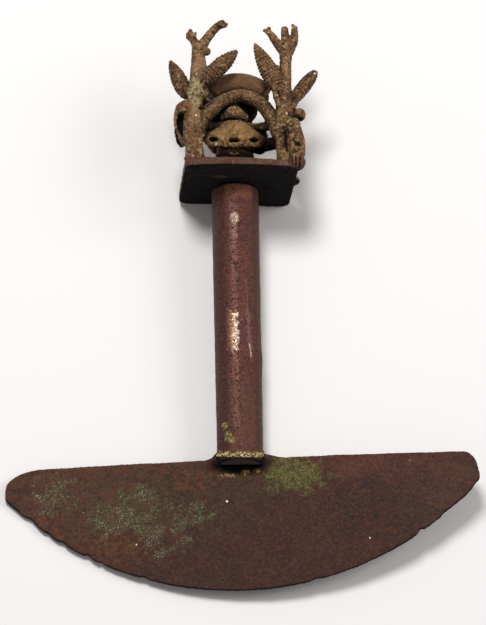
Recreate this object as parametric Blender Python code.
"""Copper tumi: an Andean ceremonial knife, lying on its back.

The knife is drawn in its own frame, in millimetres: X across the blade, Y along the round handle
towards the finial, Z out of the front face. Y = 0 lies just above the blade, on the handle's axis.
An empty then lays it down: the round lower end of the handle and the back edge of the platform touch
the table. The blade, set on with a slight twist, comes nearly down to it at its left tip and stands
clear of it at its right tip.
"""
import bpy
import bmesh
from math import atan2, cos, pi, radians, sin, sqrt
from mathutils import Matrix, Vector

MM = 0.001
GAP = 0.3                      # clearance between two pieces that touch

# Blade: a crescent cut from sheet, thickest along its straight top edge.
BLADE_LEFT = -73.0             # tips, measured from the handle's axis
BLADE_RIGHT = 74.5
BLADE_TOP = -1.0
BLADE_BACK_THICKNESS = 2.4
BLADE_EDGE_THICKNESS = 1.0
BLADE_TURN = 2.0               # the blade is set on slightly askew, in degrees
BLADE_TWIST = 4.2              # and turned a little about the handle, its right tip forward
EDGE_RADIUS = 100.0            # the cutting edge is one arc
EDGE_CENTRE_X = 0.6
EDGE_CENTRE_Y = 56.8
TOP_BOW = 0.8                  # how far the top edge falls away towards the tips
LEFT_CORNER = (12.0, 6.2)      # length and drop of the rounded top corners
RIGHT_CORNER = (4.5, 7.0)
LUG_HEIGHT = 3.0               # the blade climbs the sides of the handle a little
LUG_WIDTH = 3.2
BLADE_COLUMNS = 74

# Handle: a plain round bar whose end is slotted over the blade.
HANDLE_END = -3.2
HANDLE_BOTTOM_RADIUS = 7.05
HANDLE_TOP_RADIUS = 7.4
HANDLE_SIDES = 48
HANDLE_RINGS = 4
HANDLE_CHAMFER = 0.6

# Platform that carries the cast scene.
PLATE_UNDERSIDE = 90.0
PLATE_THICKNESS = 2.8
PLATE_WIDTH = 36.0
PLATE_DEPTH = 32.0
PLATE_CENTRE_X = 0.8
PLATE_CENTRE_Z = 3.1
PLATE_CORNER = 3.0
PLATE_BOW = 1.4                # the front edge swells forward in the middle
PLATE_TURN = -1.0              # it sits a touch lower on its right, in degrees
PLATE_TOP = PLATE_UNDERSIDE + PLATE_THICKNESS
PLATE_BACK = PLATE_CENTRE_Z - PLATE_DEPTH / 2

# The arch over the figure, and the crescent crest lying on it.
ARCH_CENTRE = (0.2, 108.0, 12.0)
ARCH_RADIUS = 11.4
ARCH_THICKNESS = 4.4
ARCH_DEPTH = 5.6
ARCH_LEAN = -3.0               # its crown stands further back than its feet
CREST_CENTRE = (1.2, 112.8, 4.4)
CREST_RADIUS = 12.0
CREST_THICKNESS = 7.6
CREST_DEPTH = 8.0

# The figure's stiff cape: top and hem along Y, middle in X and Z, and how far its ends fall back.
CAPE_TOP = 109.8
CAPE_HEM = 101.6
CAPE_CENTRE = (-0.3, 9.0)
CAPE_BOW = 1.6
CAPE_SIDES = 28
CAPE_SCALLOPS = 7
CAPE_ROWS = (                  # share of the way down, half width, half depth
    (0.0, 3.9, 1.7),
    (0.12, 5.8, 2.1),
    (0.35, 8.0, 2.3),
    (0.6, 9.4, 2.0),
    (0.85, 10.2, 1.7),
    (1.0, 9.7, 1.2),
)
PIERCING_PLACES = (-7.2, -0.7, 5.9)
PIERCING_RADII = (1.4, 0.75, 1.7)
PIERCING_HEIGHT = 103.6

# Worn nicks in the cutting edge: place along X, half width, depth. A negative depth is a swelling.
NICKS = (
    (-65.0, 2.6, 0.9),
    (-60.0, 1.4, 0.4),
    (-55.5, 1.6, 0.5),
    (-48.0, 1.8, 0.7),
    (-44.0, 1.0, 0.4),
    (-31.0, 2.2, 0.5),
    (22.0, 3.0, 0.4),
    (55.0, 1.5, 0.9),
    (63.0, 2.4, 0.5),
    (70.0, 4.5, -0.5),
)


def clear_scene():
    for item in list(bpy.data.objects):
        bpy.data.objects.remove(item)


def metal(name, colour, roughness):
    material = bpy.data.materials.new(name)
    material.use_nodes = True
    shader = material.node_tree.nodes["Principled BSDF"]
    shader.inputs["Base Color"].default_value = (*colour, 1.0)
    shader.inputs["Metallic"].default_value = 0.8
    shader.inputs["Roughness"].default_value = roughness
    return material


def make_object(name, shape, material, parent, smooth_angle=40.0):
    """Turn a bmesh drawn in millimetres into a named object."""
    mesh = bpy.data.meshes.new(name)
    bmesh.ops.scale(shape, vec=(MM, MM, MM), verts=shape.verts)
    bmesh.ops.recalc_face_normals(shape, faces=shape.faces)
    shape.to_mesh(mesh)
    shape.free()
    mesh.materials.append(material)
    mesh.shade_smooth()
    mesh.set_sharp_from_angle(angle=radians(smooth_angle))
    item = bpy.data.objects.new(name, mesh)
    bpy.context.scene.collection.objects.link(item)
    item.parent = parent
    return item


def hide(item):
    item.hide_render = True
    item.display_type = "WIRE"


def add_boolean(item, name, operation, shape, material, parent):
    """Fuse one shape with the item, or cut it away, and keep the shape as a hidden guide."""
    piece = make_object(name, shape, material, parent)
    hide(piece)
    step = item.modifiers.new(name, "BOOLEAN")
    step.operation = operation
    step.solver = "EXACT"
    step.object = piece


# --------------------------------------------------------------------------- general shapes

def smooth_path(points, steps):
    """Points along a Catmull-Rom curve through (x, y, z, radius) points."""
    knots = [Vector(point) for point in points]
    knots = [knots[0] * 2 - knots[1]] + knots + [knots[-1] * 2 - knots[-2]]
    path = []
    for before, start, end, after in zip(knots, knots[1:], knots[2:], knots[3:]):
        for step in range(steps):
            t = step / steps
            bend = before * 2 - start * 5 + end * 4 - after
            turn = start * 3 - before - end * 3 + after
            path.append(start + (end - before) * (t / 2) + bend * (t * t / 2) + turn * (t ** 3 / 2))
    path.append(knots[-2])
    return path


def skin_rings(shape, rings, first_pole, last_pole):
    """Join rings of vertices into one closed skin with a pole at each end."""
    count = len(rings[0])
    for near, far in zip(rings, rings[1:]):
        for i in range(count):
            j = (i + 1) % count
            shape.faces.new((near[i], near[j], far[j], far[i]))
    for i in range(count):
        j = (i + 1) % count
        shape.faces.new((first_pole, rings[0][j], rings[0][i]))
        shape.faces.new((last_pole, rings[-1][i], rings[-1][j]))


def rod(points, sides=10, steps=3, flatten=1.0):
    """A round-ended rod through (x, y, z, radius) points. flatten squashes it along Z."""
    path = smooth_path(points, steps)
    shape = bmesh.new()
    rings = []
    side = Vector((0.0, 0.0, 1.0))
    for index, knot in enumerate(path):
        before = path[max(index - 1, 0)]
        after = path[min(index + 1, len(path) - 1)]
        along = (after.xyz - before.xyz).normalized()
        across = along.cross(side).normalized()
        upright = across.cross(along)
        at_end = index in (0, len(path) - 1)
        radius = knot.w * (0.72 if at_end else 1.0)
        ring = []
        for i in range(sides):
            turn = 2 * pi * i / sides
            offset = across * (radius * cos(turn)) + upright * (radius * flatten * sin(turn))
            ring.append(shape.verts.new(knot.xyz + offset))
        rings.append(ring)
    start_way = (path[0].xyz - path[1].xyz).normalized()
    end_way = (path[-1].xyz - path[-2].xyz).normalized()
    first_pole = shape.verts.new(path[0].xyz + start_way * path[0].w * 0.5)
    last_pole = shape.verts.new(path[-1].xyz + end_way * path[-1].w * 0.5)
    skin_rings(shape, rings, first_pole, last_pole)
    return shape


def ball(centre, radii, turn=0.0, segments=12, rings=8):
    """An ellipsoid, turned about Z by an angle in degrees."""
    shape = bmesh.new()
    bmesh.ops.create_uvsphere(shape, u_segments=segments, v_segments=rings, radius=1.0)
    place = Matrix.Translation(centre) @ Matrix.Rotation(radians(turn), 4, "Z")
    bmesh.ops.transform(shape, matrix=place @ Matrix.Diagonal((*radii, 1.0)), verts=shape.verts)
    return shape


def cob(base, tip, width, rows=13, sides=12, relief=0.09):
    """A maize cob: a spindle whose kernels stand out in alternate rows."""
    base = Vector(base)
    tip = Vector(tip)
    along = (tip - base).normalized()
    across = along.cross(Vector((0.0, 0.0, 1.0))).normalized()
    upright = across.cross(along)
    shape = bmesh.new()
    rings = []
    for row in range(1, rows):
        t = row / rows
        swell = (width / 2) * (t / 0.4) ** 0.55 * ((1 - t) / 0.6) ** 0.8
        ring = []
        for i in range(sides):
            kernel = 1 + relief if (row + i) % 2 else 1 - relief
            turn = 2 * pi * i / sides
            radius = swell * kernel
            offset = across * (radius * cos(turn)) + upright * (radius * sin(turn))
            ring.append(shape.verts.new(base.lerp(tip, t) + offset))
        rings.append(ring)
    skin_rings(shape, rings, shape.verts.new(base), shape.verts.new(tip))
    return shape


def taper(low, high, low_radius, high_radius, flatten, sides=18):
    """A straight-sided trunk that narrows upwards, flattened front to back."""
    shape = bmesh.new()
    rings = []
    for centre, radius in ((low, low_radius), (high, high_radius)):
        ring = []
        for i in range(sides):
            turn = 2 * pi * i / sides
            offset = Vector((radius * cos(turn), 0.0, radius * flatten * sin(turn)))
            ring.append(shape.verts.new(Vector(centre) + offset))
        rings.append(ring)
    skin_rings(shape, rings, shape.verts.new(low), shape.verts.new(high))
    return shape


def band(centre, radius, thickness, depth, start, end, lean=0.0, steps=18, sides=12):
    """A rounded band bent round an arc in the XY plane, between two angles in degrees."""
    shape = bmesh.new()
    rings = []
    centre = Vector(centre)
    for step in range(steps + 1):
        t = step / steps
        angle = radians(start + (end - start) * t)
        outward = Vector((cos(angle), sin(angle), 0.0))
        fade = 0.75 if step in (0, steps) else 1.0
        middle = centre + outward * radius + Vector((0.0, 0.0, lean * sin(angle)))
        ring = []
        for i in range(sides):
            turn = 2 * pi * i / sides
            wide = fade * thickness / 2 * sin(turn)
            deep = fade * depth / 2 * cos(turn)
            ring.append(shape.verts.new(middle + outward * wide + Vector((0.0, 0.0, deep))))
        rings.append(ring)
    poles = []
    for angle, way in ((start, -1.0), (end, 1.0)):
        turn = radians(angle)
        outward = Vector((cos(turn), sin(turn), 0.0))
        onward = Vector((-sin(turn), cos(turn), 0.0)) * way * (1.0 if end > start else -1.0)
        middle = centre + outward * radius + Vector((0.0, 0.0, lean * sin(turn)))
        poles.append(shape.verts.new(middle + onward * thickness * 0.25))
    skin_rings(shape, rings, poles[0], poles[1])
    return shape


def slab(outline, low, high):
    """Extrude a closed XY outline between two Z levels."""
    shape = bmesh.new()
    floor = [shape.verts.new((x, y, low)) for x, y in outline]
    base = shape.faces.new(floor)
    grown = bmesh.ops.extrude_face_region(shape, geom=[base])
    top = [item for item in grown["geom"] if isinstance(item, bmesh.types.BMVert)]
    bmesh.ops.translate(shape, verts=top, vec=(0.0, 0.0, high - low))
    return shape


# --------------------------------------------------------------------------- blade

def corner_drop(distance, corner):
    """How far a rounded top corner has fallen, at a distance in from the tip."""
    length, drop = corner
    if distance >= length:
        return 0.0
    return drop * (1 - sqrt(max(0.0, 1 - (1 - distance / length) ** 2)))


def blade_top(x):
    bow = TOP_BOW * (x / BLADE_RIGHT) ** 2
    left = corner_drop(x - BLADE_LEFT, LEFT_CORNER)
    right = corner_drop(BLADE_RIGHT - x, RIGHT_CORNER)
    return BLADE_TOP - bow - left - right


def blade_edge(x):
    across = x - EDGE_CENTRE_X
    edge = EDGE_CENTRE_Y - sqrt(EDGE_RADIUS ** 2 - across ** 2)
    for place, half_width, depth in NICKS:
        reach = abs(x - place) / half_width
        if reach < 1:
            edge += depth * (1 + cos(pi * reach)) / 2
    return edge


def blade_setting():
    """How the blade sits in the handle's slot."""
    twist = Matrix.Rotation(radians(-BLADE_TWIST), 4, "Y")
    return twist @ Matrix.Rotation(radians(BLADE_TURN), 4, "Z")


def blade_outline():
    """Along the cutting edge from left to right, then back along the top edge."""
    wall = HANDLE_BOTTOM_RADIUS + GAP
    columns = []
    for column in range(BLADE_COLUMNS + 1):
        turn = pi * column / BLADE_COLUMNS
        ease = 0.5 - 0.5 * cos(turn)
        share = 0.55 * column / BLADE_COLUMNS + 0.45 * ease
        columns.append(BLADE_LEFT + (BLADE_RIGHT - BLADE_LEFT) * share)
    lower = [(x, blade_edge(x)) for x in columns]
    left_top = [(x, blade_top(x)) for x in columns if x < -wall - LUG_WIDTH]
    right_top = [(x, blade_top(x)) for x in columns if x > wall + LUG_WIDTH]
    lug = [(LUG_WIDTH * (1 - t / 4), BLADE_TOP + LUG_HEIGHT * (t / 4) ** 2) for t in range(5)]
    left_lug = [(-wall - x, y) for x, y in lug] + [(-wall, BLADE_TOP)]
    right_lug = [(wall, BLADE_TOP)] + [(wall + x, y) for x, y in reversed(lug)]
    top = left_top + left_lug + right_lug + right_top
    return lower + list(reversed(top))


def build_blade(material, parent):
    shape = slab(blade_outline(), -0.5, 0.5)
    depth = EDGE_RADIUS - EDGE_CENTRE_Y
    for vert in shape.verts:
        share = min(max(-vert.co.y / depth, -0.1), 1.0)
        thickness = BLADE_BACK_THICKNESS + (BLADE_EDGE_THICKNESS - BLADE_BACK_THICKNESS) * share
        vert.co.z *= thickness
    bmesh.ops.transform(shape, matrix=blade_setting(), verts=shape.verts)
    return make_object("blade", shape, material, parent, 30.0)


# --------------------------------------------------------------------------- handle

def build_handle(material, parent):
    """A turned bar; a box-shaped slot in its lower end straddles the blade."""
    low = HANDLE_END
    high = PLATE_UNDERSIDE - GAP
    profile = [(0.0, low), (HANDLE_BOTTOM_RADIUS - HANDLE_CHAMFER, low)]
    for ring in range(HANDLE_RINGS + 1):
        t = ring / HANDLE_RINGS
        radius = HANDLE_BOTTOM_RADIUS + (HANDLE_TOP_RADIUS - HANDLE_BOTTOM_RADIUS) * t
        y = low + HANDLE_CHAMFER + (high - low - 2 * HANDLE_CHAMFER) * t
        profile.append((radius, y))
    profile += [(HANDLE_TOP_RADIUS - HANDLE_CHAMFER, high), (0.0, high)]
    shape = bmesh.new()
    verts = [shape.verts.new((x, y, 0.0)) for x, y in profile]
    edges = [shape.edges.new(pair) for pair in zip(verts, verts[1:])]
    bmesh.ops.spin(shape, geom=verts + edges, cent=(0.0, 0.0, 0.0), axis=(0.0, 1.0, 0.0),
                   angle=2 * pi, steps=HANDLE_SIDES)
    bmesh.ops.remove_doubles(shape, verts=shape.verts, dist=0.001)
    handle = make_object("handle", shape, material, parent)

    slot_width = BLADE_BACK_THICKNESS + 2 * GAP
    cutter = bmesh.new()
    bmesh.ops.create_cube(cutter, size=1.0)
    slot_depth = BLADE_TOP + GAP - HANDLE_END
    size = Matrix.Diagonal((4 * HANDLE_TOP_RADIUS, 2 * slot_depth, slot_width, 1.0))
    place = blade_setting() @ Matrix.Translation((0.0, HANDLE_END, 0.0))
    bmesh.ops.transform(cutter, matrix=place @ size, verts=cutter.verts)
    add_boolean(handle, "handle_slot", "DIFFERENCE", cutter, material, parent)
    return handle


# --------------------------------------------------------------------------- finial

def plate_outline():
    """The platform seen along the handle: rounded corners, front edge bowed forward."""
    half_width = PLATE_WIDTH / 2
    half_depth = PLATE_DEPTH / 2
    outline = []
    corners = ((1, 1, 0), (-1, 1, 90), (-1, -1, 180), (1, -1, 270))
    for side, front, start in corners:
        for step in range(5):
            turn = radians(start + 90 * step / 4)
            x = side * (half_width - PLATE_CORNER) + PLATE_CORNER * cos(turn)
            z = front * (half_depth - PLATE_CORNER) + PLATE_CORNER * sin(turn)
            outline.append((x, z))
        if start == 0:
            for step in range(1, 8):
                x = (half_width - PLATE_CORNER) * (1 - step / 4)
                swell = PLATE_BOW * (1 - (x / (half_width - PLATE_CORNER)) ** 2)
                outline.append((x, half_depth + swell))
    return [(x + PLATE_CENTRE_X, z + PLATE_CENTRE_Z) for x, z in outline]


def plate():
    """Drawn flat in XY, then stood square to the handle."""
    shape = slab(plate_outline(), -PLATE_TOP, -PLATE_UNDERSIDE)
    stand = Matrix.Rotation(radians(90), 4, "X")
    level = Vector((0.0, PLATE_UNDERSIDE, 0.0))
    turn = Matrix.Rotation(radians(PLATE_TURN), 4, "Z")
    tip = Matrix.Translation(level) @ turn @ Matrix.Translation(-level)
    bmesh.ops.transform(shape, matrix=tip @ stand, verts=shape.verts)
    return shape


def stalk(points):
    return rod(points, sides=12, steps=2)


def thin_rod(points):
    return rod(points, sides=8, steps=2)


def bead(centre, radii):
    return ball(centre, radii, 0.0, 8, 6)


def left_maize():
    """Stalk, two cobs, a drooping leaf and a forked tassel on the left of the platform."""
    front = 14.0
    yield "left_stalk", stalk([
        (-13.9, 92.0, 16.0, 3.3), (-14.0, 97.5, 16.0, 2.9), (-14.4, 104.0, 14.8, 3.1),
        (-13.8, 112.0, front, 2.7), (-12.9, 120.5, front, 2.5), (-12.4, 128.0, front, 2.2),
        (-12.1, 133.5, front, 2.4)])
    yield "left_foot", ball((-13.8, 93.6, 16.6), (3.6, 1.8, 2.6), 0.0, 10, 6)
    yield "edge_drip", bead((18.9, 90.9, 6.4), (1.5, 1.1, 2.6))
    yield "left_outer_cob", cob((-15.6, 116.0, 12.6), (-21.2, 130.0, 12.0), 5.0)
    yield "left_inner_cob", cob((-11.2, 117.6, 15.0), (0.5, 132.8, 15.4), 6.8, rows=15)
    yield "left_leaf", thin_rod([
        (-14.6, 116.4, 13.0, 1.9), (-17.2, 114.6, 13.0, 1.8), (-18.6, 109.6, 13.0, 1.4),
        (-17.7, 104.0, 13.4, 1.6), (-15.4, 98.6, 14.4, 2.0)])
    yield "left_leaf_web", ball((-16.6, 108.4, 12.0), (2.2, 6.0, 1.2), 0.0, 10, 6)
    yield "left_knot", bead((-11.0, 116.2, 12.4), (2.0, 2.2, 1.8))
    yield "left_tassel_arm", thin_rod([
        (-12.0, 132.4, front, 2.0), (-9.5, 136.6, front, 1.6), (-6.9, 140.1, front, 1.3),
        (-4.6, 141.9, front, 1.4), (-3.1, 141.8, front, 1.3)])
    yield "left_tassel_stub", rod([
        (-12.0, 132.6, front, 1.9), (-13.5, 136.2, front, 1.4), (-14.5, 138.9, front, 1.4)], sides=8)
    buds = ((-15.3, 137.3, 1.0), (-13.2, 138.4, 0.9), (-9.6, 132.5, 1.3))
    for index, (x, y, size) in enumerate(buds):
        yield f"left_tassel_bud_{index + 1}", bead((x, y, front), (size, size, size))


def right_maize():
    """The right plant: a bundle of leaf sheaths at its foot and a tassel of three fingers."""
    front = 14.0
    yield "right_stalk", stalk([
        (15.4, 92.0, 15.6, 3.6), (15.8, 98.0, 15.2, 3.2), (15.8, 106.0, 14.4, 3.0),
        (15.4, 113.0, front, 2.9), (15.2, 120.0, front, 2.6), (15.9, 127.5, front, 2.0),
        (16.1, 133.5, front, 2.2)])
    yield "right_inner_cob", cob((14.5, 116.8, 15.0), (5.7, 135.4, 15.4), 5.6, rows=15)
    yield "right_outer_cob", cob((16.4, 113.4, 12.8), (25.9, 127.2, 12.0), 5.0)
    yield "right_leaf_curl", ball((19.4, 111.3, 14.0), (3.0, 2.9, 3.0), 0.0, 10, 8)
    for index, (x, size) in enumerate(((15.4, 1.9), (17.2, 2.1), (18.6, 2.0))):
        yield f"right_sheath_{index + 1}", thin_rod([
            (x + 0.4, 95.4, 15.8, size), (x, 102.0, 15.4, size), (x - 0.4, 109.6, 14.6, size * 0.9)])
    yield "right_root_core", ball((17.9, 93.4, 16.4), (3.0, 2.8, 2.0), 0.0, 10, 6)
    for index in range(4):
        x = 16.2 + 1.35 * index
        yield f"right_root_{index + 1}", rod([
            (x, 96.8, 16.4, 1.0), (x + 0.2, 93.8, 18.3, 1.2), (x, 91.3, 18.7, 1.0)], sides=6)
    fingers = (
        ((15.6, 133.0, 1.9), (12.8, 136.4, 1.4), (11.2, 139.4, 1.2), (9.9, 140.2, 1.0)),
        ((16.0, 133.0, 1.9), (16.0, 138.0, 1.4), (15.7, 141.2, 1.3)),
        ((16.4, 133.0, 1.9), (18.8, 137.4, 1.4), (19.2, 141.6, 1.2)),
    )
    for index, finger in enumerate(fingers):
        points = [(x, y, front, radius) for x, y, radius in finger]
        yield f"right_tassel_{index + 1}", rod(points, sides=8)


def figure_under_arch():
    """A hooded figure in a short pierced cape, seated under an arch with a crescent crest."""
    yield "arch", band(ARCH_CENTRE, ARCH_RADIUS, ARCH_THICKNESS, ARCH_DEPTH, -12.0, 196.0, ARCH_LEAN)
    yield "crest", band(CREST_CENTRE, CREST_RADIUS, CREST_THICKNESS, CREST_DEPTH, 46.0, 140.0, steps=12)
    yield "right_leg", thin_rod([
        (11.4, 108.6, 12.0, 2.2), (12.6, 105.2, 12.4, 1.7), (13.2, 101.8, 13.0, 1.8)])
    yield "right_tie", thin_rod([
        (6.4, 102.2, 6.6, 2.0), (9.8, 101.6, 8.6, 2.1), (13.4, 101.4, 11.0, 2.0)])
    yield "left_leg", thin_rod([
        (-11.2, 108.6, 12.0, 2.2), (-11.0, 104.6, 12.0, 2.1), (-11.8, 100.8, 12.6, 2.0)])
    yield "right_bundle", ball((7.8, 105.2, 6.2), (2.9, 5.0, 2.3), 0.0, 10, 6)
    yield "backing", ball((-2.0, 111.6, 2.8), (7.8, 11.6, 2.8), -12.0, 14, 10)
    yield "backing_shoulder", ball((0.9, 116.8, 2.9), (5.4, 5.2, 2.3), 0.0, 10, 6)
    yield "head", ball((-0.4, 113.0, 7.6), (3.9, 2.3, 3.6))
    yield "hood_knot", bead((-0.1, 115.4, 7.8), (1.1, 1.5, 1.1))
    yield "neck", bead((0.0, 110.4, 6.4), (3.6, 2.2, 3.0))
    yield "body", taper((-0.3, PLATE_TOP - 1.0, 2.4), (0.1, 107.3, 5.0), 8.2, 4.6, 0.8)
    yield "feet", bead((0.2, 99.4, 8.0), (1.8, 1.3, 1.2))
    yield "right_arm", rod([
        (3.2, 108.6, 7.6, 1.8), (6.6, 108.5, 8.0, 1.5), (10.6, 108.5, 10.4, 1.6)], sides=8)
    yield "left_arm", rod([
        (-3.4, 108.8, 7.4, 1.8), (-7.0, 108.8, 8.0, 1.4), (-10.4, 108.4, 10.4, 1.6)], sides=8)
    yield "cape", cape()


def cape():
    """A stiff rounded cape, wide but thin, bowed forward, with a scalloped hem."""
    centre_x, centre_z = CAPE_CENTRE
    shape = bmesh.new()
    rings = []
    for share, wide, deep in CAPE_ROWS:
        ring = []
        for i in range(CAPE_SIDES):
            turn = 2 * pi * i / CAPE_SIDES
            scallop = 0.5 * cos(CAPE_SCALLOPS * turn) if share == 1.0 else 0.0
            y = CAPE_TOP + (CAPE_HEM - CAPE_TOP) * share + scallop
            x = centre_x + wide * cos(turn)
            z = centre_z + deep * sin(turn) - CAPE_BOW * cos(turn) ** 2 * (wide / 10) ** 2
            ring.append(shape.verts.new((x, y, z)))
        rings.append(ring)
    top = shape.verts.new((centre_x, CAPE_TOP + 0.5, centre_z))
    bottom = shape.verts.new((centre_x, CAPE_HEM - 0.2, centre_z))
    skin_rings(shape, rings, top, bottom)
    return shape


def cape_piercings():
    """Three almond holes along the front of the cape."""
    centre_x, centre_z = CAPE_CENTRE
    for index, x in enumerate(PIERCING_PLACES):
        z = centre_z + 2.0 - CAPE_BOW * ((x - centre_x) / 10) ** 2
        yield f"piercing_{index + 1}", ball((x, PIERCING_HEIGHT, z), PIERCING_RADII, 0.0, 10, 6)


def build_finial(material, parent):
    """Everything above the platform is cast in one with it."""
    finial = make_object("finial", plate(), material, parent)
    for name, shape in (*left_maize(), *right_maize(), *figure_under_arch()):
        add_boolean(finial, name, "UNION", shape, material, parent)
    for name, shape in cape_piercings():
        add_boolean(finial, name, "DIFFERENCE", shape, material, parent)
    return finial


# --------------------------------------------------------------------------- laying it down

def rest_angle():
    """The pitch at which the handle's lower end and the platform's back edge share one plane."""
    rise = -PLATE_BACK - HANDLE_BOTTOM_RADIUS
    return atan2(rise, PLATE_UNDERSIDE - HANDLE_END - HANDLE_CHAMFER)


def lay_down(stand, items):
    """Pitch the knife, set its lowest point on Z = 0 and centre it over the origin."""
    stand.rotation_euler = (rest_angle(), 0.0, 0.0)
    bpy.context.view_layer.update()
    graph = bpy.context.evaluated_depsgraph_get()
    points = []
    for item in items:
        solid = item.evaluated_get(graph)
        points += [solid.matrix_world @ vert.co for vert in solid.data.vertices]
    low = [min(point[axis] for point in points) for axis in range(3)]
    high = [max(point[axis] for point in points) for axis in range(3)]
    stand.location = (-(low[0] + high[0]) / 2, -(low[1] + high[1]) / 2, -low[2])
    bpy.context.view_layer.update()


def main():
    clear_scene()
    blade_copper = metal("blade copper", (0.075, 0.045, 0.032), 0.55)
    handle_copper = metal("handle copper", (0.13, 0.055, 0.036), 0.38)
    finial_copper = metal("finial copper", (0.14, 0.085, 0.038), 0.6)
    stand = bpy.data.objects.new("knife", None)
    bpy.context.scene.collection.objects.link(stand)
    pieces = [
        build_blade(blade_copper, stand),
        build_handle(handle_copper, stand),
        build_finial(finial_copper, stand),
    ]
    lay_down(stand, pieces)


main()
